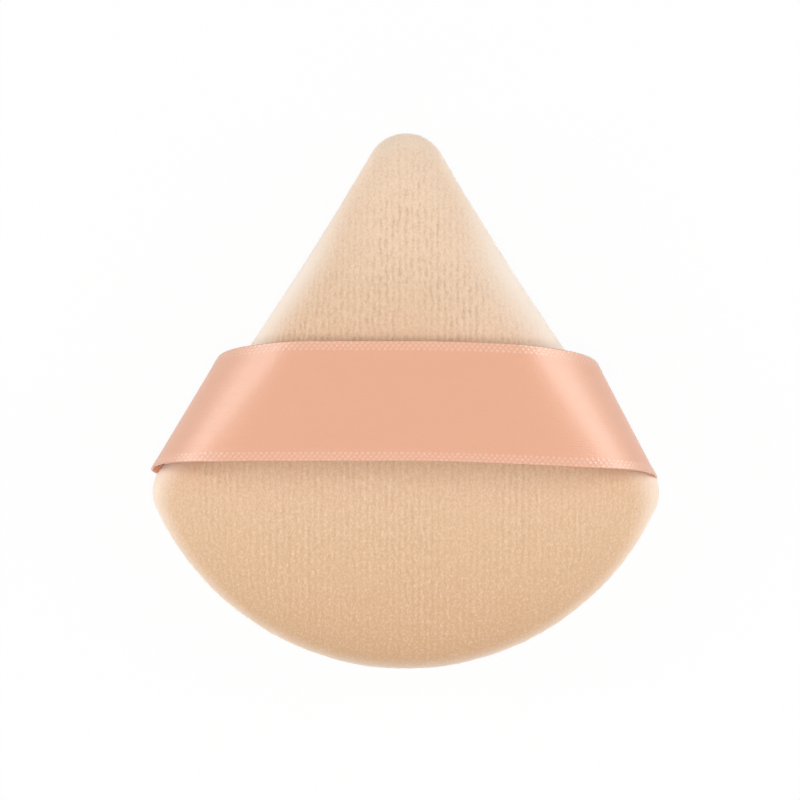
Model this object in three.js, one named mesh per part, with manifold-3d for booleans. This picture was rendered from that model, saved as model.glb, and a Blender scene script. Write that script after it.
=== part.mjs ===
// A fan-shaped velour powder puff with a satin finger strap.
// Two velour covers are sewn together all round, turned, filled with a foam core and closed by hand.
// The ends of the strap are caught in the two slanted side seams.
// Millimetres, +Z up: the puff lies on its back, its tip towards +Y and the strap on top.

import * as THREE from 'three';
import Module from 'manifold-3d';

const wasm = await Module();
wasm.setup();

const { degToRad, lerp, smoothstep } = THREE.MathUtils;

// Outline of the puff
const puffLength = 72.2;
const tipRadius = 5.4;
const tipHalfAngle = degToRad(30);
const sideRadius = 400;
const cornerRadius = 5;
const baseRadius = 37;

// Cushion form: each face climbs from the seam over a round shoulder to a low crown
const shoulderWidth = 9;
const shoulderHeight = 6;
const shoulderEnd = degToRad(68);
const shoulderRadius = 7;
const crownRise = 1.9;
const restDepth = 0.7;

// Covers and their seam
const velourThickness = 1.3;
const seamAllowance = 5.6;
const clearance = 0.3;

// Sewing threads
const threadRadius = 0.15;
const threadClearance = 0.2;
const stitchInset = 2.4;
const stitchLength = 4.5;
const stitchDip = 0.6;
const turningGap = 24;
const ladderInset = 0.9;
const ladderStep = 3;
const ladderRise = 0.75;

// Satin strap
const ribbonWidth = 16;
const ribbonThickness = 0.35;
const fingerGap = 4.45;
const strapOverhang = 2.85;
const bendReach = 12.2;
const bendDrop = 10.75;
const strapTuck = 0.9;
const strapTail = 3.4;
const strapSlip = 0.6;
const strapLean = degToRad(15);
const strapSkew = degToRad(26);
const bendSkew = degToRad(34);
const tailSkew = degToRad(31);
const steepShare = 0.3;
const settledShare = 0.7;

// Fineness of the curved surfaces
const baseSteps = 7;
const cornerSteps = 4;
const sideSteps = 5;
const tipSteps = 3;
const shoulderSteps = 5;
const crownSteps = 2;
const bendSteps = 10;
const tuckSteps = 4;
const threadSides = 5;
const tunnelSides = 4;

// Derived places
const halfGap = clearance / 2;
const foldRise = halfGap + velourThickness;
const shoulderTop = halfGap + (shoulderHeight - halfGap) * Math.sin(shoulderEnd);
const crownTop = shoulderTop + crownRise;
const seamHeight = crownTop - restDepth;
const tipCentre = new THREE.Vector2(0, puffLength / 2 - tipRadius);
const baseCentre = new THREE.Vector2(0, baseRadius - puffLength / 2);
const sideCentre = new THREE.Vector2(Math.cos(tipHalfAngle), Math.sin(tipHalfAngle))
  .multiplyScalar(sideRadius + tipRadius)
  .add(tipCentre);
const stitchRise = foldRise + threadClearance + threadRadius;
const lockRise = halfGap + threadRadius;

function angleFrom(centre, target) {
  return Math.atan2(target.y - centre.y, target.x - centre.x);
}

// Points of an arc, without its first one.
function arc(centre, radius, start, end, steps) {
  return Array.from({ length: steps }, (_, step) => {
    const angle = lerp(start, end, (step + 1) / steps);
    return new THREE.Vector2(Math.cos(angle), Math.sin(angle)).multiplyScalar(radius).add(centre);
  });
}

// The lower of the two points that lie at the given distances from the side and base centres.
function cornerCentre(sideDistance, baseDistance) {
  const axis = sideCentre.clone().sub(baseCentre);
  const span = axis.length();
  axis.normalize();
  const along = (baseDistance ** 2 - sideDistance ** 2 + span ** 2) / (2 * span);
  const across = Math.sqrt(baseDistance ** 2 - along ** 2);
  return new THREE.Vector2(axis.y, -axis.x)
    .multiplyScalar(across)
    .addScaledVector(axis, along)
    .add(baseCentre);
}

// The puff's outline, drawn in by an inset: round tip and corners, hollow sides, bulging base.
function fanOutline(inset) {
  const share = Math.min(inset / shoulderWidth, 1);
  const tipRound = lerp(tipRadius, shoulderRadius, share);
  const cornerRound = lerp(cornerRadius, shoulderRadius, share);
  const sideArc = sideRadius + inset;
  const baseArc = baseRadius - inset;
  const tipDrop = Math.sqrt((sideArc + tipRound) ** 2 - sideCentre.x ** 2);
  const tip = new THREE.Vector2(0, sideCentre.y - tipDrop);
  const corner = cornerCentre(sideArc + cornerRound, baseArc - cornerRound);
  const cornerStart = angleFrom(baseCentre, corner);
  const right = [
    new THREE.Vector2(0, baseCentre.y - baseArc),
    ...arc(baseCentre, baseArc, -Math.PI / 2, cornerStart, baseSteps),
    ...arc(corner, cornerRound, cornerStart, angleFrom(corner, sideCentre), cornerSteps),
    ...arc(sideCentre, sideArc, angleFrom(sideCentre, corner), angleFrom(sideCentre, tip), sideSteps),
    ...arc(tip, tipRound, angleFrom(tip, sideCentre), Math.PI / 2, tipSteps),
  ];
  const left = right.slice(1, -1).reverse().map((point) => new THREE.Vector2(-point.x, point.y));
  return [...right, ...left];
}

// The outline as a ring at a height above or below the seam, shrunk towards the base arc's centre.
function ring(inset, rise, scale = 1) {
  return fanOutline(inset).map((point) => new THREE.Vector3(
    point.x * scale,
    lerp(baseCentre.y, point.y, scale),
    seamHeight + rise,
  ));
}

// A closed solid through rings of equal length, with a point at each end.
function loft(rings, start, end) {
  const count = rings[0].length;
  const points = [start, ...rings.flat(), end];
  const at = (level, k) => 1 + level * count + (k % count);
  const last = rings.length - 1;
  const faces = [];
  for (let k = 0; k < count; k += 1) {
    faces.push(0, at(0, k + 1), at(0, k));
    for (let level = 0; level < last; level += 1) {
      faces.push(at(level, k), at(level, k + 1), at(level + 1, k + 1));
      faces.push(at(level, k), at(level + 1, k + 1), at(level + 1, k));
    }
    faces.push(points.length - 1, at(last, k), at(last, k + 1));
  }
  return new THREE.BufferGeometry().setFromPoints(points).setIndex(faces);
}

function toSolid(geometry) {
  return new wasm.Manifold(new wasm.Mesh({
    numProp: 3,
    vertProperties: new Float32Array(geometry.attributes.position.array),
    triVerts: new Uint32Array(geometry.index.array),
  }));
}

function cut(geometry, tools) {
  const solid = tools.reduce((rest, tool) => rest.subtract(toSolid(tool)), toSolid(geometry));
  const mesh = solid.getMesh();
  const result = new THREE.BufferGeometry();
  result.setAttribute('position', new THREE.BufferAttribute(new Float32Array(mesh.vertProperties), 3));
  result.setIndex(new THREE.BufferAttribute(new Uint32Array(mesh.triVerts), 1));
  return result;
}

// One domed surface from its foot near the rim to its crown, at a depth inside the outer face.
// Facing is 1 on the strap side of the seam and -1 on the back, which is pressed flat at rest.
function dome({ depth, foot, footAngle = 0, facing }) {
  const flat = facing < 0 ? restDepth : 0;
  const reach = shoulderWidth - depth;
  const climb = shoulderHeight - depth - foot;
  const insetAt = (angle) => depth + reach * (1 - Math.cos(angle));
  const riseAt = (angle) => foot + climb * Math.sin(angle);
  const rings = [];
  for (let step = 0; step <= shoulderSteps; step += 1) {
    const angle = lerp(footAngle, shoulderEnd, step / shoulderSteps);
    rings.push(ring(insetAt(angle), facing * riseAt(angle)));
  }
  const innerScale = flat > 0 ? Math.sqrt(flat / crownRise) : 1 / (crownSteps + 1);
  for (let step = 1; step <= crownSteps; step += 1) {
    const scale = lerp(1, innerScale, step / crownSteps);
    const rise = riseAt(shoulderEnd) + crownRise * (1 - scale ** 2);
    rings.push(ring(insetAt(shoulderEnd), facing * rise, scale));
  }
  const peak = riseAt(shoulderEnd) + crownRise - flat;
  return { rings, peak: new THREE.Vector3(0, baseCentre.y, seamHeight + facing * peak) };
}

// A velour cover: a domed skin whose edge folds inwards into a flat seam allowance.
function coverBlank(facing) {
  const outer = dome({ depth: 0, foot: halfGap, facing });
  const inner = dome({ depth: velourThickness, foot: foldRise, facing });
  const allowance = [ring(seamAllowance, facing * foldRise), ring(seamAllowance, facing * halfGap)];
  const rings = [...inner.rings.reverse(), ...allowance, ...outer.rings];
  if (facing > 0) {
    return loft(rings, inner.peak, outer.peak);
  }
  return loft(rings.reverse(), outer.peak, inner.peak);
}

// The foam core fills both covers and is pressed into a groove by the seam allowances.
function foamCore() {
  const depth = velourThickness + clearance;
  const grooveRise = stitchRise + threadRadius + clearance;
  const climb = shoulderHeight - depth - foldRise;
  const footAngle = Math.asin((grooveRise - foldRise) / climb);
  const front = dome({ depth, foot: foldRise, footAngle, facing: 1 });
  const back = dome({ depth, foot: foldRise, footAngle, facing: -1 });
  const grooveInset = seamAllowance + clearance;
  const groove = [ring(grooveInset, -grooveRise), ring(grooveInset, grooveRise)];
  return loft([...back.rings.reverse(), ...groove, ...front.rings], back.peak, front.peak);
}

// Half of the strap's side view, from the elliptical bend to the tail.
// Each station gives the flat length, the reach outwards, the drop and the tilt of the satin face.
function strapStations(tailExtra) {
  const run = crownTop + fingerGap + ribbonThickness / 2 - bendDrop - strapTuck;
  const stations = [{ flat: 0, reach: 0, drop: 0, tilt: 0 }];
  for (let step = 1; step <= bendSteps; step += 1) {
    const angle = lerp(0, Math.PI / 2, step / bendSteps);
    const before = stations[step - 1];
    const reach = bendReach * Math.sin(angle);
    const drop = bendDrop * (1 - Math.cos(angle));
    const flat = before.flat + Math.hypot(reach - before.reach, drop - before.drop);
    const tilt = Math.atan2(bendDrop * Math.sin(angle), bendReach * Math.cos(angle));
    stations.push({ flat, reach, drop, tilt });
  }
  const runEnd = stations[bendSteps].flat + run;
  for (let step = 0; step <= tuckSteps; step += 1) {
    const turn = lerp(0, Math.PI / 2, step / tuckSteps);
    stations.push({
      flat: runEnd + strapTuck * turn,
      reach: bendReach - strapTuck * (1 - Math.cos(turn)),
      drop: bendDrop + run + strapTuck * Math.sin(turn),
      tilt: Math.PI / 2 + turn,
    });
  }
  const end = stations[stations.length - 1];
  const tail = strapOverhang - strapTuck + strapTail + tailExtra;
  stations.push({ ...end, flat: end.flat + tail, reach: end.reach - tail });
  return stations;
}

// A band along the strap's route. It runs outwards at a lean and bends about skewed lines: their skew
// is steepest a short way into the bend and settles to the slant of the sides. Each line crosses the
// whole ribbon, and towards the tail the ribbon slips a little down the sides, towards the base.
function strapBand(width, thickness, tailExtra) {
  const outward = new THREE.Vector2(Math.cos(strapLean), Math.sin(strapLean));
  const rimReach = sideCentre.x - Math.sqrt(sideRadius ** 2 - sideCentre.y ** 2);
  const bendStart = rimReach + (strapOverhang - bendReach) / outward.x;
  const stations = strapStations(tailExtra);
  const end = stations[stations.length - 1];
  const strapHeight = seamHeight + end.drop;

  const section = (station, hand) => {
    const share = station.flat / end.flat;
    const onBend = lerp(strapSkew, bendSkew, smoothstep(share, 0, steepShare));
    const skew = lerp(onBend, tailSkew, smoothstep(share, steepShare, settledShare));
    const spread = lerp(1 / Math.cos(skew), 1, share ** 2);
    const slide = station.reach - station.flat;
    const middle = new THREE.Vector3(
      bendStart + station.flat / outward.x + slide * outward.x,
      slide * outward.y,
      strapHeight - station.drop,
    );
    const across = new THREE.Vector3(-Math.sin(skew), Math.cos(skew), 0);
    middle.addScaledVector(across, -strapSlip * share);
    across.multiplyScalar(spread * width / 2);
    const face = new THREE.Vector3(
      Math.cos(skew) * Math.sin(station.tilt),
      Math.sin(skew) * Math.sin(station.tilt),
      Math.cos(station.tilt),
    ).multiplyScalar(thickness / 2);
    const corners = [[-1, -1], [1, -1], [1, 1], [-1, 1]];
    return corners.map(([side, layer]) => {
      const corner = middle.clone().addScaledVector(across, side).addScaledVector(face, layer);
      return corner.setX(corner.x * hand);
    });
  };

  const centre = (corners) => corners[0].clone().add(corners[2]).multiplyScalar(0.5);
  const left = stations.map((station) => section(station, -1)).reverse();
  const right = stations.map((station) => section(station, 1));
  return loft([...left, ...right], centre(left[0]), centre(right[right.length - 1]));
}

// A tube along points that stay in an upright curtain; each point carries its sideways direction.
function threadTube(path, radius, sides) {
  const rings = path.map(({ point, sideways }, index) => {
    const before = path[Math.max(index - 1, 0)].point;
    const after = path[Math.min(index + 1, path.length - 1)].point;
    const incoming = index > 0 ? point.clone().sub(before).normalize() : null;
    const outgoing = after !== point ? after.clone().sub(point).normalize() : null;
    const along = (incoming ?? outgoing).clone().add(outgoing ?? incoming).normalize();
    const mitre = 1 / along.dot(incoming ?? outgoing);
    const upright = along.clone().cross(sideways);
    return Array.from({ length: sides }, (_, side) => {
      const angle = (side + 0.5) * 2 * Math.PI / sides;
      return point.clone()
        .addScaledVector(sideways, radius * Math.cos(angle))
        .addScaledVector(upright, radius * mitre * Math.sin(angle));
    });
  });
  return loft(rings, path[0].point, path[path.length - 1].point);
}

// The tunnel that a thread needs in the fabric, with square walls.
function threadTunnel(path) {
  const reach = threadRadius + threadClearance;
  return threadTube(path, reach / Math.cos(Math.PI / tunnelSides), tunnelSides);
}

// A seam line at an inset, measured from the middle of the base.
function seamLine(inset) {
  const curve = new THREE.CatmullRomCurve3(ring(inset, 0), true, 'centripetal');
  const length = curve.getLength();
  const place = (distance, rise) => {
    const share = ((distance / length) % 1 + 1) % 1;
    const along = curve.getTangentAt(share).setZ(0).normalize();
    const point = curve.getPointAt(share);
    point.z = seamHeight + rise;
    return { point, sideways: new THREE.Vector3(along.y, -along.x, 0) };
  };
  return { length, place };
}

// The stitches of the seam, each as the two ends of its hole along the seam line.
function seamStitches(length) {
  const count = Math.round((length - turningGap) / stitchLength);
  const step = (length - turningGap) / count;
  return Array.from({ length: count + 1 }, (_, stitch) => {
    const middle = turningGap / 2 + stitch * step;
    return { entry: middle - stitchDip / 2, exit: middle + stitchDip / 2 };
  });
}

// One thread of the lockstitch: it lies along its cover and dips to the seam at every stitch.
function lockstitchPath(facing) {
  const { length, place } = seamLine(stitchInset);
  const path = seamStitches(length).flatMap(({ entry, exit }) => [
    place(entry, facing * stitchRise),
    place(entry, facing * lockRise),
    place(exit, facing * lockRise),
    place(exit, facing * stitchRise),
  ]);
  return path.slice(1, -1);
}

// The needle holes of the seam, straight through both allowances and the strap's tails.
function stitchHoles() {
  const { length, place } = seamLine(stitchInset);
  const room = threadRadius + threadClearance;
  return seamStitches(length).map(({ entry, exit }) => {
    const level = (rise) => [place(entry - room, rise), place(exit + room, rise)]
      .flatMap(({ point, sideways }, end) => {
        const edges = [point.clone().addScaledVector(sideways, -room)];
        edges.push(point.clone().addScaledVector(sideways, room));
        return end === 0 ? edges : edges.reverse();
      });
    const lower = level(-stitchRise);
    const upper = level(stitchRise);
    const middle = (corners) => corners[0].clone().add(corners[2]).multiplyScalar(0.5);
    return loft([lower, upper], middle(lower), middle(upper));
  });
}

// The hand-sewn ladder stitch: it runs inside one fold, crosses the seam and runs inside the other.
function ladderPath() {
  const { place } = seamLine(ladderInset);
  const count = Math.round(turningGap / ladderStep);
  const step = turningGap / count;
  const path = [];
  for (let rung = 0; rung < count; rung += 1) {
    const rise = rung % 2 === 0 ? ladderRise : -ladderRise;
    path.push(place(rung * step - turningGap / 2, rise));
    path.push(place((rung + 1) * step - turningGap / 2, rise));
  }
  return path;
}

const velour = { color: 0xe6c6a6, roughness: 0.95, metalness: 0 };
const satin = { color: 0xebb396, roughness: 0.35, metalness: 0 };
const foam = { color: 0xf2e9d8, roughness: 0.9, metalness: 0 };
const thread = { color: 0xe0bfa0, roughness: 0.6, metalness: 0 };

const needlePath = lockstitchPath(1);
const bobbinPath = lockstitchPath(-1);
const closingPath = ladderPath();
const holes = stitchHoles();
const closingTunnel = threadTunnel(closingPath);
const strapSlot = strapBand(ribbonWidth + 2 * clearance, ribbonThickness + 2 * clearance, clearance);

const pieces = [
  ['back_velour_cover', cut(coverBlank(-1), [strapSlot, closingTunnel, ...holes]), velour],
  ['foam_core', foamCore(), foam],
  ['front_velour_cover', cut(coverBlank(1), [strapSlot, closingTunnel, ...holes]), velour],
  ['satin_strap', cut(strapBand(ribbonWidth, ribbonThickness, 0), holes), satin],
  ['needle_thread', threadTube(needlePath, threadRadius, threadSides), thread],
  ['bobbin_thread', threadTube(bobbinPath, threadRadius, threadSides), thread],
  ['closing_thread', threadTube(closingPath, threadRadius, threadSides), thread],
];

const puff = new THREE.Group();
for (const [name, geometry, finish] of pieces) {
  const mesh = new THREE.Mesh(geometry, new THREE.MeshStandardMaterial(finish));
  mesh.name = name;
  puff.add(mesh);
}

export default puff;
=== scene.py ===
# A fan-shaped velour powder puff with a satin finger strap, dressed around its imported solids.
# Lengths are millimetres until a mesh, lamp or camera is made, and metres from there on.

import math

import bpy
import numpy as np
from mathutils import Matrix, Vector, noise


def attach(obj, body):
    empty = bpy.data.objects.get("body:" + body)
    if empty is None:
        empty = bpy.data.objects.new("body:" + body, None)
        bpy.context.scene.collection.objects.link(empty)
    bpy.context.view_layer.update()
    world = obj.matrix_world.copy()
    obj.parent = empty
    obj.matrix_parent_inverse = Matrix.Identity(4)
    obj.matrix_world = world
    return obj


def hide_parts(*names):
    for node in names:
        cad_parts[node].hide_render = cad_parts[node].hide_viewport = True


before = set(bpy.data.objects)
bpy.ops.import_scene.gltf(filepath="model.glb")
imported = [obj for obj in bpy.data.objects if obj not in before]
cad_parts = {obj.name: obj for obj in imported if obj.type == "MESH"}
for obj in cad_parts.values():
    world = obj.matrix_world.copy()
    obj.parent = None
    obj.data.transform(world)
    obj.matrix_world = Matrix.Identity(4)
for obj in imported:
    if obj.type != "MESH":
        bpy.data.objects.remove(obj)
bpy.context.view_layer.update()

MM = 0.001
MAP_SIZE = 100
TINY = 1e-9

# Outline and cushion form, as in the part's source
PUFF_LENGTH = 72.2
TIP_RADIUS = 5.4
TIP_HALF_ANGLE = math.radians(30)
SIDE_RADIUS = 400
CORNER_RADIUS = 5
BASE_RADIUS = 37
SHOULDER_WIDTH = 9
SHOULDER_HEIGHT = 6
SHOULDER_END = math.radians(68)
SHOULDER_RADIUS = 7
CROWN_RISE = 1.9
REST_DEPTH = 0.7
VELOUR_THICKNESS = 1.3
SEAM_ALLOWANCE = 5.6
CLEARANCE = 0.3

# Sewing threads, as in the part's source
THREAD_RADIUS = 0.15
THREAD_CLEARANCE = 0.2

# Satin strap, as in the part's source
RIBBON_WIDTH = 16
RIBBON_THICKNESS = 0.35
FINGER_GAP = 4.45
STRAP_OVERHANG = 2.85
BEND_REACH = 12.2
BEND_DROP = 10.75
STRAP_TUCK = 0.9
STRAP_TAIL = 3.4
STRAP_SLIP = 0.6
STRAP_LEAN = math.radians(15)
STRAP_SKEW = math.radians(26)
BEND_SKEW = math.radians(34)
TAIL_SKEW = math.radians(31)
STEEP_SHARE = 0.3
SETTLED_SHARE = 0.7

# What the photo shows beyond the solids: the bend starts softly, and the strap's right end is sewn
# a little lower and folds about straighter lines
BEND_EASE = 4
STRAP_DROOP = 1.0
RIGHT_SKEW = 0.9

# The visible ribbon: thinner than its solid, with rows of dots in the woven edge on both sides
SATIN_THICKNESS = 0.24
SELVEDGE = 1.25
DOT_PERIOD = 0.75
DOT_ROWS = 3
DOT_RELIEF = 0.05

# Derived places
HALF_GAP = CLEARANCE / 2
FOLD_RISE = HALF_GAP + VELOUR_THICKNESS
STITCH_RISE = FOLD_RISE + THREAD_CLEARANCE + THREAD_RADIUS
SHOULDER_TOP = HALF_GAP + (SHOULDER_HEIGHT - HALF_GAP) * math.sin(SHOULDER_END)
CROWN_TOP = SHOULDER_TOP + CROWN_RISE
SEAM_HEIGHT = CROWN_TOP - REST_DEPTH
STRAP_DROP = CROWN_TOP + FINGER_GAP + RIBBON_THICKNESS / 2
STRAP_HEIGHT = SEAM_HEIGHT + STRAP_DROP
TIP_CENTRE = np.array((0, PUFF_LENGTH / 2 - TIP_RADIUS))
BASE_CENTRE = np.array((0, BASE_RADIUS - PUFF_LENGTH / 2))
SIDE_DIRECTION = np.array((math.cos(TIP_HALF_ANGLE), math.sin(TIP_HALF_ANGLE)))
SIDE_CENTRE = TIP_CENTRE + (SIDE_RADIUS + TIP_RADIUS) * SIDE_DIRECTION

# The seam's fold as the pile shows it
FOLD_RADIUS = 0.7
FOLD_GAP = 0.03
FOLD_FOOT = FOLD_RADIUS + FOLD_GAP

# Relief of the pile: broad clumps and finer tufts, in waves to a millimetre across, along and up
CLUMP_WAVES = (0.30, 0.16, 0.3)
CLUMP_RELIEF = 0.05
TUFT_WAVES = (0.95, 0.45, 0.9)
TUFT_RELIEF = 0.035
TUFT_SHIFT = (0, 0, 40)

# Painted sheen, a pale colour for light caught by the pile: between these places along the slanted
# sides, and from a start to full in shares of the shoulder's turn. It is weaker at the tip, the base
# and the back.
PAINTED_SHEEN_LOW = (-22, -4)
PAINTED_SHEEN_HIGH = (30, 16)
END_PAINTED_SHEEN = 0.3
END_PAINTED_SHEEN_START = 0.5
LEFT_PAINTED_SHEEN_START = 0.15
RIGHT_PAINTED_SHEEN_START = 0.0
PAINTED_SHEEN_FULL = 0.8
BACK_PAINTED_SHEEN = 0.35

# Fineness: points on the base, corner, side and tip arcs of half an outline, and rings over the
# shoulder and the crown of a face
FINE_ARCS = (130, 18, 152, 20)
FINE_RINGS = (44, 60)
PLAIN_ARCS = (36, 8, 36, 8)
PLAIN_RINGS = (10, 8)
SKIN_ARCS = (20, 4, 22, 4)
SKIN_RINGS = (8, 8)
FOLD_STEPS = 6

# Fineness of the strap: points of its side view and its bend, then rows along it and columns across it
PROFILE_POINTS = 2401
BEND_POINTS = 500
STRAP_ROWS = 721
BODY_COLUMNS = 19
SELVEDGE_COLUMNS = 13

# Cloth simulation: a coarse skin, ten times its size, swells with its rim held
SKIN_SIZE = 10
SKIN_CROWN = 1.5
SWELL_PRESSURE = 4
SKIN_STIFFNESS = 40
SKIN_BENDING = 30
SWELL_FRAMES = 20
CLOTH_QUALITY = 8
MOST_SWELL = 1.6
EVENING_PASSES = 24
EVENED_CROWN = (0.1, 0.6)


def lerp(start, end, share):
    return start + (end - start) * share


def smooth_step(low, high, value):
    share = np.clip((value - low) / (high - low), 0, 1)
    return share * share * (3 - 2 * share)


def angle_from(centre, target):
    return math.atan2(target[1] - centre[1], target[0] - centre[0])


def arc(centre, radius, start, end, steps):
    """Points of an arc, without its first one."""
    angles = np.linspace(start, end, steps + 1)[1:]
    return centre + radius * np.column_stack((np.cos(angles), np.sin(angles)))


def corner_centre(side_distance, base_distance):
    """The lower of the two points at the given distances from the side and base centres."""
    axis = SIDE_CENTRE - BASE_CENTRE
    span = np.linalg.norm(axis)
    axis = axis / span
    along = (base_distance ** 2 - side_distance ** 2 + span ** 2) / (2 * span)
    across = math.sqrt(base_distance ** 2 - along ** 2)
    return BASE_CENTRE + along * axis + across * np.array((axis[1], -axis[0]))


def fan_outline(inset, arcs):
    """The puff's outline, drawn in by an inset, as points from the middle of the base."""
    share = min(inset / SHOULDER_WIDTH, 1)
    tip_round = lerp(TIP_RADIUS, SHOULDER_RADIUS, share)
    corner_round = lerp(CORNER_RADIUS, SHOULDER_RADIUS, share)
    side_arc = SIDE_RADIUS + inset
    base_arc = BASE_RADIUS - inset
    tip_drop = math.sqrt((side_arc + tip_round) ** 2 - SIDE_CENTRE[0] ** 2)
    tip = np.array((0, SIDE_CENTRE[1] - tip_drop))
    corner = corner_centre(side_arc + corner_round, base_arc - corner_round)
    corner_start = angle_from(BASE_CENTRE, corner)
    corner_end = angle_from(corner, SIDE_CENTRE)
    side_start = angle_from(SIDE_CENTRE, corner)
    side_end = angle_from(SIDE_CENTRE, tip)
    right = np.vstack((
        [[0, BASE_CENTRE[1] - base_arc]],
        arc(BASE_CENTRE, base_arc, -math.pi / 2, corner_start, arcs[0]),
        arc(corner, corner_round, corner_start, corner_end, arcs[1]),
        arc(SIDE_CENTRE, side_arc, side_start, side_end, arcs[2]),
        arc(tip, tip_round, angle_from(tip, SIDE_CENTRE), math.pi / 2, arcs[3]),
    ))
    left = right[-2:0:-1] * (-1, 1)
    return np.vstack((right, left))


def ring(inset, rise, arcs, scale=1):
    """The outline at a height above or below the seam, shrunk towards the base arc's centre."""
    outline = fan_outline(inset, arcs)
    return np.column_stack((
        outline[:, 0] * scale,
        lerp(BASE_CENTRE[1], outline[:, 1], scale),
        np.full(len(outline), SEAM_HEIGHT + rise),
    ))


def crown_scales(steps):
    """How much the crown's rings shrink, from the shoulder to just before the middle."""
    return np.linspace(1, 0, steps + 2)[1:-1]


def dome(depth, foot, facing, arcs, rings, crown_rise=CROWN_RISE):
    """Rings of a domed surface from its foot near the rim to its crown, and its middle point."""
    reach = SHOULDER_WIDTH - depth
    climb = SHOULDER_HEIGHT - depth - foot
    levels = []
    for angle in np.linspace(0, SHOULDER_END, rings[0] + 1):
        inset = depth + reach * (1 - math.cos(angle))
        rise = foot + climb * math.sin(angle)
        levels.append(ring(inset, facing * rise, arcs))
    # The crown goes on from the last ring of the shoulder
    for scale in crown_scales(rings[1]):
        crown = rise + crown_rise * (1 - scale ** 2)
        levels.append(ring(inset, facing * crown, arcs, scale))
    middle = np.array((0, BASE_CENTRE[1], SEAM_HEIGHT + facing * (rise + crown_rise)))
    return np.array(levels), middle


def press_flat(points, height):
    """Flattens the underside where it rests, at a height that leaves room for what lies below."""
    points[..., 2] = np.maximum(points[..., 2], height)
    return points


def make_mesh(name, points, faces):
    mesh = bpy.data.meshes.new(name)
    mesh.from_pydata((np.asarray(points) * MM).tolist(), [], faces)
    mesh.shade_smooth()
    return mesh


def add_map(mesh, name, places):
    """A UV map with a place in flat millimetres for each point of a mesh, centred in the map."""
    corners = np.empty(len(mesh.loops), dtype=np.int32)
    mesh.loops.foreach_get("vertex_index", corners)
    shares = 0.5 + np.asarray(places)[corners] / MAP_SIZE
    mesh.uv_layers.new(name=name).data.foreach_set("uv", shares.ravel())


def add_values(mesh, name, values):
    """A number for each point of a mesh, for its material to read."""
    attribute = mesh.attributes.new(name, "FLOAT", "POINT")
    attribute.data.foreach_set("value", np.asarray(values, dtype=np.float32))


def make_piece(name, mesh, material, slot, *nodes):
    """A piece of the object that rides on the puff and stands for one or more of its solids."""
    piece = bpy.data.objects.new(name, mesh)
    bpy.context.scene.collection.objects.link(piece)
    piece.data.materials.append(material)
    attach(piece, "root")
    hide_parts(*nodes)
    return piece


def loft(name, levels, start, end):
    """A closed mesh through rings of equal length, with a point at each end."""
    count = len(levels[0])
    points = np.vstack((start, *levels, end))
    last = len(points) - 1
    faces = []
    for k in range(count):
        after = (k + 1) % count
        faces.append((0, 1 + after, 1 + k))
        for low in range(1, last - count, count):
            high = low + count
            faces.append((low + k, low + after, high + after, high + k))
        faces.append((last, last - count + k, last - count + after))
    return make_mesh(name, points, faces)


def add_cloth(skin, rim):
    """Makes a skin into cloth under pressure, with the points of its rim held."""
    held = skin.vertex_groups.new(name="rim")
    held.add(rim, 1.0, "REPLACE")
    cloth = skin.modifiers.new("swell", "CLOTH")
    cloth.point_cache.frame_end = SWELL_FRAMES
    settings = cloth.settings
    settings.quality = CLOTH_QUALITY
    settings.tension_stiffness = SKIN_STIFFNESS
    settings.compression_stiffness = SKIN_STIFFNESS
    settings.shear_stiffness = SKIN_STIFFNESS
    settings.bending_stiffness = SKIN_BENDING
    settings.vertex_group_mass = held.name
    settings.use_pressure = True
    settings.uniform_pressure_force = SWELL_PRESSURE
    settings.effector_weights.gravity = 0


def swollen_points(mesh, rim):
    """Where the points of a mesh lie once it has swollen as cloth. The mesh is used up."""
    scene = bpy.context.scene
    mesh.transform(Matrix.Scale(SKIN_SIZE, 4))
    skin = bpy.data.objects.new("skin", mesh)
    scene.collection.objects.link(skin)
    add_cloth(skin, rim)
    for step in range(1, SWELL_FRAMES + 1):
        scene.frame_set(step)
    swollen = skin.evaluated_get(bpy.context.evaluated_depsgraph_get()).to_mesh()
    points = np.empty(len(swollen.vertices) * 3)
    swollen.vertices.foreach_get("co", points)
    bpy.data.objects.remove(skin)
    bpy.data.meshes.remove(mesh)
    scene.frame_set(1)
    return points.reshape(-1, 3) / (MM * SKIN_SIZE)


def face_moves(rings, middle):
    """A face's moves with its middle last, smoothed along each ring so that no ridge runs to it."""
    moves = np.concatenate((rings, np.broadcast_to(middle, rings[:1].shape)))
    for _ in range(EVENING_PASSES):
        moves = (np.roll(moves, 1, axis=1) + 2 * moves + np.roll(moves, -1, axis=1)) / 4
    return moves


def swell():
    """Blows up the two faces as one cloth skin and returns how each one's points moved."""
    front, front_middle = dome(0, FOLD_FOOT, 1, SKIN_ARCS, SKIN_RINGS, SKIN_CROWN)
    back, back_middle = dome(0, FOLD_FOOT, -1, SKIN_ARCS, SKIN_RINGS, SKIN_CROWN)
    levels = [*back[::-1], *front]
    count = len(front[0])
    rim_start = 1 + (len(back) - 1) * count
    rim = list(range(rim_start, rim_start + 2 * count))
    swollen = swollen_points(loft("skin", levels, back_middle, front_middle), rim)
    moved = swollen - np.vstack((back_middle, *levels, front_middle))
    length = np.maximum(np.linalg.norm(moved, axis=1, keepdims=True), TINY)
    moved *= np.minimum(MOST_SWELL / length, 1)
    rings = moved[1:-1].reshape(len(levels), count, 3)
    return {
        1: face_moves(rings[len(back):], moved[-1]),
        -1: face_moves(rings[len(back) - 1::-1], moved[0]),
    }


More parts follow.
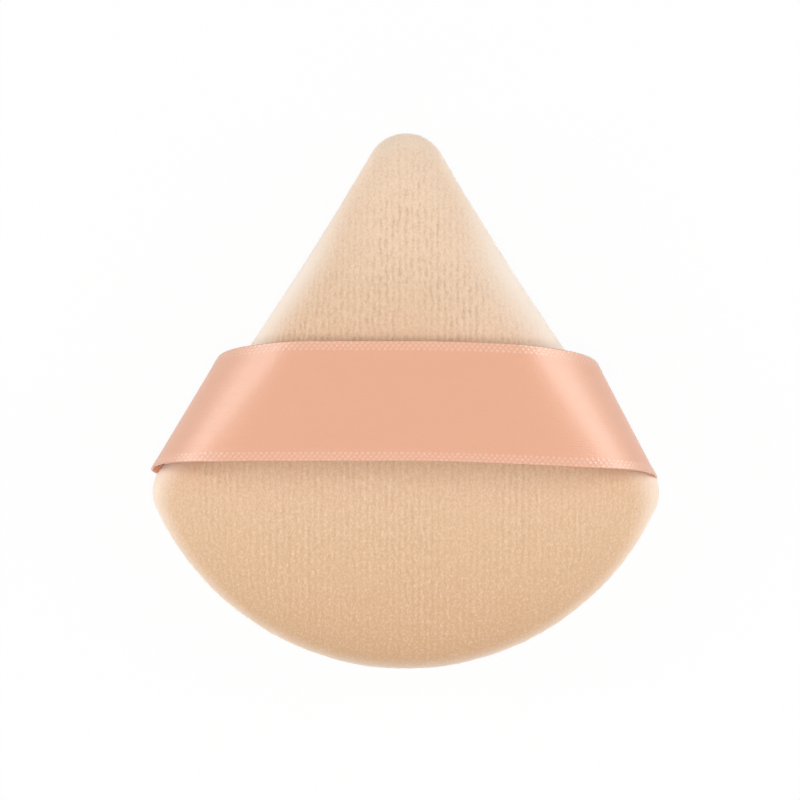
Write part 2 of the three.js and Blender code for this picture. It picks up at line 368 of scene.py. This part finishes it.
def cubic(values, places, closed):
    """Smooth values between evenly spaced ones, along the first direction."""
    count = len(values)
    base = np.floor(places).astype(int)
    share = (places - base).reshape(-1, *[1] * (values.ndim - 1))
    picks = [base + offset for offset in (-1, 0, 1, 2)]
    picks = [pick % count if closed else np.clip(pick, 0, count - 1) for pick in picks]
    a, b, c, d = (values[pick] for pick in picks)
    slope = (c - a) / 2
    ease = (d - b) / 2
    near = (1 + 2 * share) * (1 - share) ** 2 * b + share * (1 - share) ** 2 * slope
    return near + share ** 2 * (3 - 2 * share) * c + share ** 2 * (share - 1) * ease


def arc_places(arcs, coarse):
    """Where the points of a fine outline fall among those of a coarse one."""
    right = [0.0]
    for steps, coarse_steps in zip(arcs, coarse):
        right.extend(right[-1] + coarse_steps * np.arange(1, steps + 1) / steps)
    left = 2 * right[-1] - np.array(right[-2:0:-1])
    return np.concatenate((right, left))


def refine(moves, arcs, rings):
    """A coarse face's moves on the points of a fine one, its middle last, evened out round it."""
    shoulder = np.linspace(0, SKIN_RINGS[0], rings[0] + 1)
    crown = SKIN_RINGS[0] + (1 - crown_scales(rings[1])) * (SKIN_RINGS[1] + 1)
    levels = np.concatenate((shoulder, crown, [SKIN_RINGS[0] + SKIN_RINGS[1] + 1]))
    fine = cubic(moves, levels, closed=False)
    fine = cubic(fine.swapaxes(0, 1), arc_places(arcs, SKIN_ARCS), closed=True).swapaxes(0, 1)
    scales = np.concatenate((np.ones(rings[0] + 1), crown_scales(rings[1]), [0]))
    evened = smooth_step(*EVENED_CROWN, scales)[:, None, None]
    return lerp(fine.mean(axis=1, keepdims=True), fine, evened)


def pile_relief(points):
    """How far the pile stands proud at each point: broad clumps with finer tufts on them."""
    relief = np.empty(len(points))
    for index, point in enumerate(points):
        clump = noise.noise(Vector(point * CLUMP_WAVES))
        tuft = noise.noise(Vector(point * TUFT_WAVES + TUFT_SHIFT))
        relief[index] = CLUMP_RELIEF * clump + TUFT_RELIEF * tuft
    return relief


def surface_normals(levels):
    """Unit normals of a face's rings, which point up on both faces."""
    around = np.roll(levels, -1, axis=1) - np.roll(levels, 1, axis=1)
    inward = np.gradient(levels, axis=0)
    normals = np.cross(around, inward)
    return normals / np.maximum(np.linalg.norm(normals, axis=2, keepdims=True), TINY)


def pile_map(rings, middle):
    """Where rings from a face's crown to its seam would lie if the cloth were spread flat."""
    route = np.concatenate((np.broadcast_to(middle, rings[:1].shape), rings))
    lengths = np.cumsum(np.linalg.norm(np.diff(route, axis=0), axis=2), axis=0)
    away = rings[..., :2] - middle[:2]
    away /= np.linalg.norm(away, axis=2, keepdims=True)
    return middle[:2] + away * lengths[..., None]


def pile_turn(rings):
    """How far rings from the crown to the seam have turned over the shoulder, from 0 to 1."""
    turn = np.linspace(0, 1, FINE_RINGS[0] + 1)
    folded = np.ones(len(rings) - len(turn) - FINE_RINGS[1])
    turns = np.concatenate((np.zeros(FINE_RINGS[1]), turn, folded))[:, None]
    return np.broadcast_to(turns, rings.shape[:2])


def painted_pile_sheen(rings):
    """How much painted sheen, a pale colour for light caught by the pile, lies on rings from the crown
    to the seam: most on the sides.
    """
    along = rings[..., 1]
    side = smooth_step(*PAINTED_SHEEN_LOW, along) * smooth_step(*PAINTED_SHEEN_HIGH, along)
    start = np.where(rings[..., 0] > 0, RIGHT_PAINTED_SHEEN_START, LEFT_PAINTED_SHEEN_START)
    start = lerp(END_PAINTED_SHEEN_START, start, side)
    return smooth_step(start, PAINTED_SHEEN_FULL, pile_turn(rings)) * lerp(END_PAINTED_SHEEN, 1, side)


def pile_face(facing, moves):
    """The pile side of a cover as rings from its fold to its crown, and its middle point."""
    face, middle = dome(0, FOLD_FOOT, facing, FINE_ARCS, FINE_RINGS, SKIN_CROWN)
    fine_moves = refine(moves, FINE_ARCS, FINE_RINGS)
    face += fine_moves[:-1]
    middle += fine_moves[-1].mean(axis=0)
    relief = pile_relief(face.reshape(-1, 3)).reshape(face.shape[:2])
    face += surface_normals(face) * facing * relief[..., None]
    return press_flat(face, 0), press_flat(middle, 0)


def cover_fold(facing):
    """Rings of the rounded edge where a cover's pile side turns into the seam."""
    fold = []
    for turn in np.linspace(0, math.pi / 2, FOLD_STEPS + 1)[1:]:
        inset = FOLD_RADIUS * (1 - math.cos(turn))
        rise = FOLD_FOOT - FOLD_RADIUS * math.sin(turn)
        fold.append(ring(inset, facing * rise, FINE_ARCS))
    return fold


def cover_lining(facing):
    """Rings of a cover's seam allowance and its hidden side up to its crown, and the middle point."""
    allowance = [
        ring(SEAM_ALLOWANCE, facing * FOLD_GAP, FINE_ARCS),
        ring(SEAM_ALLOWANCE, facing * (FOLD_GAP + VELOUR_THICKNESS), FINE_ARCS),
    ]
    foot = FOLD_FOOT + VELOUR_THICKNESS
    inner, middle = dome(VELOUR_THICKNESS, foot, facing, FINE_ARCS, PLAIN_RINGS)
    press_flat(inner, VELOUR_THICKNESS)
    press_flat(middle, VELOUR_THICKNESS)
    return np.concatenate((allowance, inner)), middle


def cover_mesh(name, facing, moves):
    """A velour cover: a domed pile face, its folded edge, the seam allowance and the lining side."""
    face, middle = pile_face(facing, moves)
    pile = np.concatenate((face[::-1], cover_fold(facing)))
    lining, lining_middle = cover_lining(facing)
    inside = np.zeros(lining.shape[:2])
    sheen_share = 1 if facing > 0 else BACK_PAINTED_SHEEN
    # A loft ends at its upper middle point, so the front cover's rings are turned round
    levels = np.concatenate((pile, lining))[::-facing]
    nap = np.concatenate((pile_map(pile, middle), lining[..., :2]))[::-facing]
    # Painted sheen on the pile side: a pale colour where light would catch the pile
    painted_sheen = np.concatenate((painted_pile_sheen(pile) * sheen_share, inside))[::-facing]
    turn = np.concatenate((pile_turn(pile), inside))[::-facing]
    start, end = (lining_middle, middle)[::facing]
    mesh = loft(name, levels, start, end)
    add_map(mesh, "nap", np.vstack((start[:2], nap.reshape(-1, 2), end[:2])))
    add_values(mesh, "painted_sheen", np.concatenate(([0], painted_sheen.ravel(), [0])))
    add_values(mesh, "turn", np.concatenate(([0], turn.ravel(), [0])))
    return mesh


def foam_mesh(name):
    """The sponge that fills both covers, pressed into a groove by the seam allowances."""
    depth = VELOUR_THICKNESS + CLEARANCE
    groove_rise = STITCH_RISE + THREAD_RADIUS + CLEARANCE
    front, front_middle = dome(depth, groove_rise, 1, PLAIN_ARCS, PLAIN_RINGS)
    back, back_middle = dome(depth, groove_rise, -1, PLAIN_ARCS, PLAIN_RINGS)
    press_flat(back, depth)
    press_flat(back_middle, depth)
    inset = SEAM_ALLOWANCE + CLEARANCE
    groove = [ring(inset, rise, PLAIN_ARCS) for rise in (-groove_rise, groove_rise)]
    return loft(name, [*back[::-1], *groove, *front], back_middle, front_middle)


def strap_profile():
    """The strap's side view: flat lengths from the bend's start, with their reach, drop and tilt.

    It is an elliptical bend that starts softly, a straight run, a tight tuck and a tail in the seam.
    """
    angles = np.linspace(0, math.pi / 2, BEND_POINTS)
    bend = np.column_stack((BEND_REACH * np.sin(angles), BEND_DROP * np.cos(angles)))
    arcs = np.concatenate(([0], np.cumsum(np.linalg.norm(np.diff(bend, axis=0), axis=1))))
    slopes = np.arctan2(BEND_DROP * np.sin(angles), BEND_REACH * np.cos(angles))
    ease_drop = BEND_EASE ** 2 * BEND_DROP / (6 * BEND_REACH ** 2)
    run_end = arcs[-1] + STRAP_DROP - BEND_DROP - STRAP_TUCK - ease_drop
    tail_end = run_end + STRAP_TUCK * (math.pi / 2 - 1) + STRAP_OVERHANG + STRAP_TAIL
    flats = np.linspace(-BEND_EASE, tail_end, PROFILE_POINTS)
    eased = np.where(flats < BEND_EASE, (flats + BEND_EASE) ** 2 / (4 * BEND_EASE), flats)
    tilts = np.interp(eased, arcs, slopes)
    tilts += np.clip((flats - run_end) / STRAP_TUCK, 0, math.pi / 2)
    middles = (tilts[1:] + tilts[:-1]) / 2
    step = flats[1] - flats[0]
    reaches = np.concatenate(([0], np.cumsum(np.cos(middles)))) * step - BEND_EASE
    drops = np.concatenate(([0], np.cumsum(np.sin(middles)))) * step
    return flats, reaches, drops, tilts


# Strap: where its bend starts beside the flat span, and half its length, to the end of a tail
STRAP_PROFILE = strap_profile()
TAIL_END = STRAP_PROFILE[0][-1]
OUTWARD = np.array((math.cos(STRAP_LEAN), math.sin(STRAP_LEAN)))
RIM_REACH = SIDE_CENTRE[0] - math.sqrt(SIDE_RADIUS ** 2 - SIDE_CENTRE[1] ** 2)
BEND_START = RIM_REACH + (STRAP_OVERHANG - BEND_REACH) / OUTWARD[0]
HALF_STRAP = BEND_START + TAIL_END / OUTWARD[0]


def strap_lines(places):
    """The middle, the direction across and the face of the ribbon at places along its length."""
    flat = np.maximum((np.abs(places) - BEND_START) * OUTWARD[0], -BEND_EASE)
    flats, *columns = STRAP_PROFILE
    reach, drop, tilt = (np.interp(flat, flats, column) for column in columns)
    share = np.maximum(flat, 0) / TAIL_END
    on_span = STRAP_SKEW * np.minimum(np.abs(places) / BEND_START, 1)
    on_bend = lerp(on_span, BEND_SKEW, smooth_step(0, STEEP_SHARE, share))
    skew = lerp(on_bend, TAIL_SKEW, smooth_step(STEEP_SHARE, SETTLED_SHARE, share))
    skew *= np.where(places > 0, RIGHT_SKEW, 1)
    spread = lerp(1 / np.cos(skew), 1, share ** 2)
    hand = np.sign(places)
    slide = reach - flat
    along = hand * (np.abs(places) + slide * OUTWARD[0])
    middle = np.column_stack((along, slide * OUTWARD[1], STRAP_HEIGHT - drop))
    across = np.column_stack((-hand * np.sin(skew), np.cos(skew), np.zeros(len(places))))
    middle -= across * (STRAP_SLIP * share)[:, None]
    lean = np.sin(tilt)
    face = np.column_stack((hand * np.cos(skew) * lean, np.sin(skew) * lean, np.cos(tilt)))
    return middle, across * spread[:, None], face


def selvedge_dots(lengths, columns):
    """How far the satin stands up in the staggered dots of its woven edges, from 0 to 1."""
    edge = (np.abs(columns) - RIBBON_WIDTH / 2 + SELVEDGE) / SELVEDGE
    row = np.floor(DOT_ROWS * edge)
    wave = np.sin(2 * math.pi * lengths / DOT_PERIOD + math.pi * row)
    inside = (edge > 0) & (edge < 1)
    return inside * np.maximum(wave, 0) * np.abs(np.sin(DOT_ROWS * math.pi * edge))


def band_faces(rows, width):
    """Faces of a thin closed band between two grids of points, the upper one first."""
    count = rows * width
    faces = []
    for row in range(rows - 1):
        low = row * width
        high = low + width - 1
        for a in range(low, high):
            b = a + width
            faces.append((a, b, b + 1, a + 1))
            faces.append((count + a, count + a + 1, count + b + 1, count + b))
        faces.append((low, count + low, count + low + width, low + width))
        faces.append((high + width, count + high + width, count + high, high))
    for a in range(width - 1):
        b = count - width + a
        faces.append((a, a + 1, count + a + 1, count + a))
        faces.append((b, count + b, count + b + 1, b + 1))
    return faces


def strap_mesh(name):
    """The ribbon as a thin closed band with raised dots along both woven edges."""
    half = RIBBON_WIDTH / 2
    selvedge = np.linspace(half - SELVEDGE, half, SELVEDGE_COLUMNS)
    body = np.linspace(SELVEDGE - half, half - SELVEDGE, BODY_COLUMNS)[1:-1]
    columns = np.concatenate((-selvedge[::-1], body, selvedge))
    places = np.linspace(-HALF_STRAP, HALF_STRAP, STRAP_ROWS)
    middle, across, face = (part[:, None] for part in strap_lines(places))
    points = middle + across * columns[:, None]
    points[..., 1] -= STRAP_DROOP * smooth_step(0, points[..., 0].max(), points[..., 0])
    steps = np.linalg.norm(np.diff(points, axis=0), axis=2)
    lengths = np.vstack((np.zeros(len(columns)), np.cumsum(steps, axis=0)))
    lengths -= lengths[len(places) // 2]
    dots = selvedge_dots(lengths, columns)
    upper = points + face * (SATIN_THICKNESS / 2 + DOT_RELIEF * dots[..., None])
    lower = points - face * SATIN_THICKNESS / 2
    both = np.vstack((upper.reshape(-1, 3), lower.reshape(-1, 3)))
    mesh = make_mesh(name, both, band_faces(len(places), len(columns)))
    flat = np.column_stack((lengths.ravel(), np.tile(columns, len(places))))
    add_map(mesh, "ribbon", np.vstack((flat, flat)))
    add_values(mesh, "dots", np.tile(dots.ravel(), 2))
    return mesh


class Graph:
    """The nodes of a material or world, added and linked by short calls."""

    def __init__(self, owner):
        owner.use_nodes = True
        self.owner = owner
        self.tree = owner.node_tree
        self.tree.nodes.clear()

    def add(self, kind, inputs=None, output=0, **settings):
        node = self.tree.nodes.new("ShaderNode" + kind)
        for key, value in settings.items():
            setattr(node, key, value)
        for key, value in (inputs or {}).items():
            if isinstance(value, bpy.types.NodeSocket):
                self.tree.links.new(value, node.inputs[key])
            else:
                node.inputs[key].default_value = value
        return node.outputs[output] if node.outputs else None

    def math(self, operation, first, second):
        return self.add("Math", {0: first, 1: second}, operation=operation)

    def times(self, first, second):
        return self.math("MULTIPLY", first, second)

    def mix(self, share, first, second):
        inputs = {0: share, 6: first, 7: second}
        return self.add("Mix", inputs, output=2, data_type="RGBA")

    def spread(self, value, low, high, start=0.0, end=1.0):
        """A number from start to end as the value goes from low to high."""
        return self.add("MapRange", {0: value, 1: low, 2: high, 3: start, 4: end})

    def value(self, name):
        """The numbers that a mesh keeps under a name."""
        return self.add("Attribute", output=2, attribute_name=name)

    def place(self, scale):
        """The piece's own coordinates, stretched per axis, one unit to a millimetre at scale 1."""
        coordinates = self.add("TexCoord", output=3)
        scales = tuple(value / MM for value in scale)
        return self.add("Mapping", {0: coordinates, 3: scales})

    def coordinate(self, axis):
        """One of the piece's own coordinates in millimetres: 0 is across and 1 is along the puff."""
        return self.add("SeparateXYZ", {0: self.place((1, 1, 1))}, output=axis)

    def map_place(self, name, scale):
        """The places of a flat map, stretched per axis, one unit to a millimetre at scale 1."""
        scales = (scale[0] * MAP_SIZE, scale[1] * MAP_SIZE, 1.0)
        return self.add("Mapping", {0: self.add("UVMap", uv_map=name), 3: scales})

    def noise(self, waves, roughness=0.5):
        """Noise in the piece's own space, with about so many waves to a millimetre on each axis."""
        inputs = {"Vector": self.place(waves), "Scale": 1.0, "Roughness": roughness}
        return self.add("TexNoise", inputs)

    def map_noise(self, name, waves, roughness=0.5, output=0):
        """Noise on a flat map, with about so many waves to a millimetre on each axis."""
        inputs = {"Vector": self.map_place(name, waves), "Scale": 1.0, "Roughness": roughness}
        return self.add("TexNoise", inputs, output=output)

    def bump(self, height, distance, below=None):
        inputs = {"Height": height, "Distance": distance * MM, "Strength": 1.0}
        if below is not None:
            inputs["Normal"] = below
        return self.add("Bump", inputs)

    def finish(self, inputs):
        shader = self.add("BsdfPrincipled", inputs)
        self.add("OutputMaterial", {"Surface": shader})
        return self.owner


def new_material(name):
    return Graph(bpy.data.materials.new(name))


def srgb(red, green, blue):
    """A colour written as it looks on screen, from 0 to 255, in linear light."""
    shares = [value / 255 for value in (red, green, blue)]
    return (*[s / 12.92 if s < 0.04045 else ((s + 0.055) / 1.055) ** 2.4 for s in shares], 1.0)


# Velour patterns: the spacing of the knit's wales and how far they wander, then waves to a millimetre.
# Blender's wave texture runs through 20 radians to a unit at scale 1.
WALE = 0.87
WALE_WAVE_SCALE = 2 * math.pi / (20 * WALE)
WALE_DRIFT = 0.9
DRIFT_WAVES = (0.7, 0.5)
DASH_WAVES = (1.5, 0.75)
RIDGE_WAVES = (1.6, 1.1)
BLOTCH_WAVES = (0.12, 0.09, 0.12)
FIBRE_WAVES = (4.2, 2.8, 4.2)
PILE_ROUGHNESS = 0.6

# How plainly the wales show: from smooth to plush blotches, and between two places along the puff
BLOTCH_PLUSH = (0.4, 1.0)
PLUSH_PLACES = (-30, 10)
PLUSH_ALONG = (0.45, 1.1)

# Heights of the velour's patterns
WALE_DEPTH = 0.07
RIDGE_HEIGHT = 0.05
FIBRE_HEIGHT = 0.04

# Velour tones, how much each pattern has of its own, and where along and across the puff they fade
# Painted shade and light: the pile darkens towards the base and pales towards the tip, as if lit from
# beyond the tip; the shade ends just below the strap, so as to lighten the strap's shadow there
SHADED_BASE_TONE = srgb(206, 164, 125)
MIDDLE_TONE = srgb(229, 195, 163)
LIT_TIP_TONE = srgb(240, 213, 188)
BASE_FADE = (-38, -6)
TIP_FADE = (4, 34)
# Painted light: a paler patch on the upper right, as if lit from the right
LIT_PATCH_TONE = srgb(246, 224, 203)
LIT_PATCH_SHARE = 0.5
LIT_PATCH_ACROSS = (2, 14)
LIT_PATCH_ALONG = (0, 12)
# Painted shade in the dashes where the pile parts between its wales
PARTED_SHADE_TONE = srgb(200, 156, 115)
PARTED_SHADE_SHARE = 0.5
# Painted highlight on the tufts that stand on the wales
RIDGE_HIGHLIGHT_TONE = srgb(248, 223, 198)
RIDGE_HIGHLIGHT_SHARE = 0.5
DARK_FIBRE = srgb(208, 165, 125)
DARK_SHARE = 0.45
PALE_FIBRE = srgb(248, 224, 200)
PALE_SHARE = 0.4
# Painted sheen: the pale colour for light caught by the pile on the sides
PAINTED_SHEEN_TONE = srgb(251, 238, 224)
PAINTED_SHEEN_SHARE = 0.9
VELOUR_SHEEN = srgb(255, 248, 240)


def velour_wales(graph, along):
    """How far the pile parts in dashes between its wales, and how far it stands in tufts on them."""
    drift = graph.map_noise("nap", DRIFT_WAVES, output=1)
    wander = {0: drift, 1: (WALE_DRIFT, WALE_DRIFT, 0.0), 2: graph.map_place("nap", (1, 1))}
    place = graph.add("VectorMath", wander, operation="MULTIPLY_ADD")
    wales = graph.add("TexWave", {"Vector": place, "Scale": WALE_WAVE_SCALE}, bands_direction="X")
    dashes = graph.map_noise("nap", DASH_WAVES, PILE_ROUGHNESS)
    tufts = graph.map_noise("nap", RIDGE_WAVES, PILE_ROUGHNESS)
    plush = graph.spread(graph.noise(BLOTCH_WAVES), 0.4, 0.6, *BLOTCH_PLUSH)
    plush = graph.times(plush, graph.spread(graph.value("turn"), 0.85, 0.1))
    plush = graph.times(plush, graph.spread(along, *PLUSH_PLACES, *PLUSH_ALONG))
    parted = graph.times(graph.spread(dashes, 0.4, 0.68), graph.spread(wales, 0.85, 0.05))
    ridges = graph.times(graph.spread(tufts, 0.4, 0.7), graph.spread(wales, 0.1, 0.9))
    return graph.times(parted, plush), graph.times(ridges, plush)


def velour_ground(graph, along):
    """The broad tone of the pile: painted shade darkens it towards the base, and painted light pales it
    at the tip and on the upper right.
    """
    # Painted shade towards the base and painted light towards the tip
    tone = graph.mix(graph.spread(along, *BASE_FADE), SHADED_BASE_TONE, MIDDLE_TONE)
    tone = graph.mix(graph.spread(along, *TIP_FADE), tone, LIT_TIP_TONE)
    across = graph.coordinate(0)
    # Painted light on the upper right
    lit_patch = graph.times(graph.spread(across, *LIT_PATCH_ACROSS), graph.spread(along, *LIT_PATCH_ALONG))
    return graph.mix(graph.times(lit_patch, LIT_PATCH_SHARE), tone, LIT_PATCH_TONE)


def velour_material():
    """Short pile on a knit: its wales part in short dashes, and it lies smooth in places."""
    graph = new_material("velour")
    along = graph.coordinate(1)
    parted, ridges = velour_wales(graph, along)
    fibres = graph.noise(FIBRE_WAVES, PILE_ROUGHNESS)
    tone = velour_ground(graph, along)
    # Painted shade where the pile parts
    tone = graph.mix(graph.times(parted, PARTED_SHADE_SHARE), tone, PARTED_SHADE_TONE)
    # Painted highlight on the tufts
    tone = graph.mix(graph.times(ridges, RIDGE_HIGHLIGHT_SHARE), tone, RIDGE_HIGHLIGHT_TONE)
    tone = graph.mix(graph.spread(fibres, 0.5, 0.75, 0.0, DARK_SHARE), tone, DARK_FIBRE)
    tone = graph.mix(graph.spread(fibres, 0.5, 0.25, 0.0, PALE_SHARE), tone, PALE_FIBRE)
    # Painted sheen on the sides
    tone = graph.mix(graph.times(graph.value("painted_sheen"), PAINTED_SHEEN_SHARE), tone, PAINTED_SHEEN_TONE)
    normal = graph.bump(parted, -WALE_DEPTH)
    normal = graph.bump(ridges, RIDGE_HEIGHT, normal)
    normal = graph.bump(fibres, FIBRE_HEIGHT, normal)
    return graph.finish({
        "Base Color": tone, "Roughness": 0.95, "Normal": normal, "Specular IOR Level": 0.2,
        "Sheen Weight": 1.0, "Sheen Roughness": 0.4, "Sheen Tint": VELOUR_SHEEN,
    })


# Satin: waves to a millimetre along and across the ribbon, heights, tones and the gloss of its dots
YARN_WAVES = (0.06, 9)
PICK_WAVES = (4.2, 0.3)
GRAIN_WAVES = (1.3, 6.5)
YARN_HEIGHT = 0.012
GRAIN_HEIGHT = 0.035
DARK_YARN = srgb(217, 155, 123)
PALE_YARN = srgb(221, 160, 128)
PICK_TONE = srgb(219, 158, 125)
# The dots' pale tone is partly their own yarn and partly painted glints
DOT_GLINT_TONE = srgb(250, 222, 206)
DOT_GLINT_SHARE = 0.55
DOT_GLOSS = 0.22
SATIN_ROUGHNESS = (0.36, 0.44)
SATIN_SHEEN = srgb(255, 226, 212)


def satin_material():
    """Satin ribbon: long yarns over finer picks, with glossier dots in its woven edges that are paler
    partly in their own yarn and partly as painted glints.
    """
    graph = new_material("satin")
    yarns = graph.map_noise("ribbon", YARN_WAVES)
    picks = graph.map_noise("ribbon", PICK_WAVES)
    grain = graph.map_noise("ribbon", GRAIN_WAVES)
    dots = graph.value("dots")
    tone = graph.mix(graph.spread(yarns, 0.3, 0.7), DARK_YARN, PALE_YARN)
    tone = graph.mix(graph.spread(picks, 0.35, 0.65), tone, PICK_TONE)
    # Pale dots: partly their own colour, partly painted glints
    tone = graph.mix(graph.times(dots, DOT_GLINT_SHARE), tone, DOT_GLINT_TONE)
    roughness = graph.spread(yarns, 0.3, 0.7, *SATIN_ROUGHNESS)
    roughness = graph.math("SUBTRACT", roughness, graph.times(dots, DOT_GLOSS))
    normal = graph.bump(yarns, YARN_HEIGHT)
    normal = graph.bump(picks, YARN_HEIGHT, normal)
    normal = graph.bump(grain, GRAIN_HEIGHT, normal)
    tangent = graph.add("Tangent", direction_type="UV_MAP", uv_map="ribbon")
    return graph.finish({
        "Base Color": tone, "Roughness": roughness, "Normal": normal, "Tangent": tangent,
        "IOR": 1.65, "Specular IOR Level": 1.0, "Anisotropic": 0.3, "Sheen Weight": 0.5,
        "Sheen Roughness": 0.35, "Sheen Tint": SATIN_SHEEN,
    })


# Sponge: cells to a millimetre, their depth and tones
FOAM_CELLS = (3, 3, 3)
FOAM_DEPTH = 0.2
SHADED_CELL_TONE = srgb(222, 208, 184)
WALL_TONE = srgb(244, 236, 220)


def foam_material():
    """Fine open-cell sponge, with painted shade inside its cells."""
    graph = new_material("foam")
    cells = graph.add("TexVoronoi", {"Vector": graph.place(FOAM_CELLS), "Scale": 1.0})
    # Painted shade inside the cells
    tone = graph.mix(graph.spread(cells, 0.1, 0.6), SHADED_CELL_TONE, WALL_TONE)
    normal = graph.bump(cells, FOAM_DEPTH)
    return graph.finish({"Base Color": tone, "Roughness": 0.95, "Normal": normal})


# Thread: waves of its plies to a millimetre, their height and tones
PLY_WAVES = (9, 9, 14)
PLY_HEIGHT = 0.03
DARK_PLY = srgb(212, 180, 148)
PALE_PLY = srgb(232, 204, 174)


def thread_material():
    """Spun sewing thread with uneven plies."""
    graph = new_material("thread")
    plies = graph.noise(PLY_WAVES)
    tone = graph.mix(plies, DARK_PLY, PALE_PLY)
    normal = graph.bump(plies, PLY_HEIGHT)
    return graph.finish({
        "Base Color": tone, "Roughness": 0.6, "Normal": normal, "Sheen Weight": 0.2,
    })


# Studio: a large white card with a faint grain, and a dim warm sky
WHITE = (1, 1, 1, 1)
FLOOR_SIZE = 4000
FLOOR_GLOW = 0.95
FLOOR_WAVES = (0.05, 0.05, 0.05)
DARK_CARD = (0.86, 0.86, 0.86, 1)
PALE_CARD = (0.90, 0.90, 0.90, 1)
SKY_TINT = (1, 0.985, 0.965, 1)
SKY_LIGHT = 0.28

# Camera: far off, so that it sees the puff nearly without perspective
CAMERA_PLACE = (-0.80, 0.13, 1008)
FOCAL_LENGTH = 334
SENSOR_WIDTH = 36


def backdrop_share(graph):
    """1 for rays that see the backdrop as the camera does, and 0 for rays that light the object."""
    path = graph.tree.nodes.new("ShaderNodeLightPath")
    seen = graph.math("ADD", path.outputs["Is Camera Ray"], path.outputs["Is Glossy Ray"])
    seen = graph.math("ADD", seen, path.outputs["Is Transmission Ray"])
    return graph.math("MINIMUM", seen, 1.0)


def floor_material():
    """White card: mostly plain white where it is seen, so that a faint shadow stays."""
    graph = new_material("floor")
    tone = graph.mix(graph.noise(FLOOR_WAVES), DARK_CARD, PALE_CARD)
    card = graph.add("BsdfDiffuse", {"Color": tone})
    white = graph.add("Emission", {"Color": WHITE, "Strength": 1.0})
    share = graph.times(backdrop_share(graph), FLOOR_GLOW)
    shader = graph.add("MixShader", {0: share, 1: card, 2: white})
    graph.add("OutputMaterial", {"Surface": shader})
    return graph.owner


def make_floor():
    size = FLOOR_SIZE
    corners = [(-size, -size, 0), (size, -size, 0), (size, size, 0), (-size, size, 0)]
    floor = bpy.data.objects.new("floor", make_mesh("floor", corners, [(0, 1, 2, 3)]))
    bpy.context.scene.collection.objects.link(floor)
    floor.data.materials.append(floor_material())


def make_world():
    """A sky that lights the puff dimly and is white where it is seen."""
    world = bpy.data.worlds.new("studio")
    bpy.context.scene.world = world
    graph = Graph(world)
    light = graph.add("Background", {"Color": SKY_TINT, "Strength": SKY_LIGHT})
    white = graph.add("Background", {"Color": WHITE, "Strength": 1.0})
    shader = graph.add("MixShader", {0: backdrop_share(graph), 1: light, 2: white})
    graph.add("OutputWorld", {"Surface": shader})


def softbox(name, place, size, watts, mirrored):
    """A rectangular lamp that faces the puff, and is either only mirrored in it or only lights it."""
    lamp = bpy.data.lights.new(name, "AREA")
    lamp.shape = "RECTANGLE"
    lamp.size = size[0] * MM
    lamp.size_y = size[1] * MM
    lamp.energy = watts
    holder = bpy.data.objects.new(name, lamp)
    holder.location = Vector(place) * MM
    aim = Vector((0, 0, STRAP_HEIGHT / 2)) - Vector(place)
    holder.rotation_euler = aim.to_track_quat("-Z", "Y").to_euler()
    holder.visible_camera = False
    holder.visible_glossy = mirrored
    holder.visible_diffuse = not mirrored
    bpy.context.scene.collection.objects.link(holder)


def make_lamps():
    """Soft light from above, the front and both sides, and two lamps for the satin's highlights."""
    softbox("top", (0, -50, 700), (140, 140), 1.5, mirrored=False)
    softbox("front", (0, -420, 230), (520, 220), 0.52, mirrored=False)
    softbox("left_fill", (-430, 60, 230), (300, 240), 1.15, mirrored=False)
    softbox("right_fill", (430, 60, 230), (300, 240), 1.15, mirrored=False)
    softbox("left_gloss", (-395, 228, 210), (220, 360), 0.66, mirrored=True)
    softbox("right_gloss", (395, 228, 210), (220, 360), 0.76, mirrored=True)


def make_camera():
    """A camera straight above the puff, which looks down at it as the photo does."""
    lens = bpy.data.cameras.new("camera")
    lens.sensor_width = SENSOR_WIDTH
    lens.lens = FOCAL_LENGTH
    camera = bpy.data.objects.new("camera", lens)
    camera.location = Vector(CAMERA_PLACE) * MM
    bpy.context.scene.collection.objects.link(camera)
    bpy.context.scene.camera = camera


def make_puff():
    """The covers, the sponge and the strap in place of their solids, and the threads as packed."""
    velour = velour_material()
    moves = swell()
    front = make_piece(
        "front_velour", cover_mesh("front_velour", 1, moves[1]), velour, "velour",
        "front_velour_cover")
    back = make_piece(
        "back_velour", cover_mesh("back_velour", -1, moves[-1]), velour, "velour",
        "back_velour_cover")
    core = make_piece("sponge", foam_mesh("sponge"), foam_material(), "foam", "foam_core")
    strap = make_piece(
        "satin_ribbon", strap_mesh("satin_ribbon"), satin_material(), "satin", "satin_strap")
    thread = thread_material()
    for name in ("needle_thread", "bobbin_thread", "closing_thread"):
        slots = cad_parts[name].data.materials
        slots.clear()
        slots.append(thread)


bpy.context.scene.view_settings.view_transform = "Standard"
make_camera()
make_floor()
make_world()
make_lamps()
make_puff()
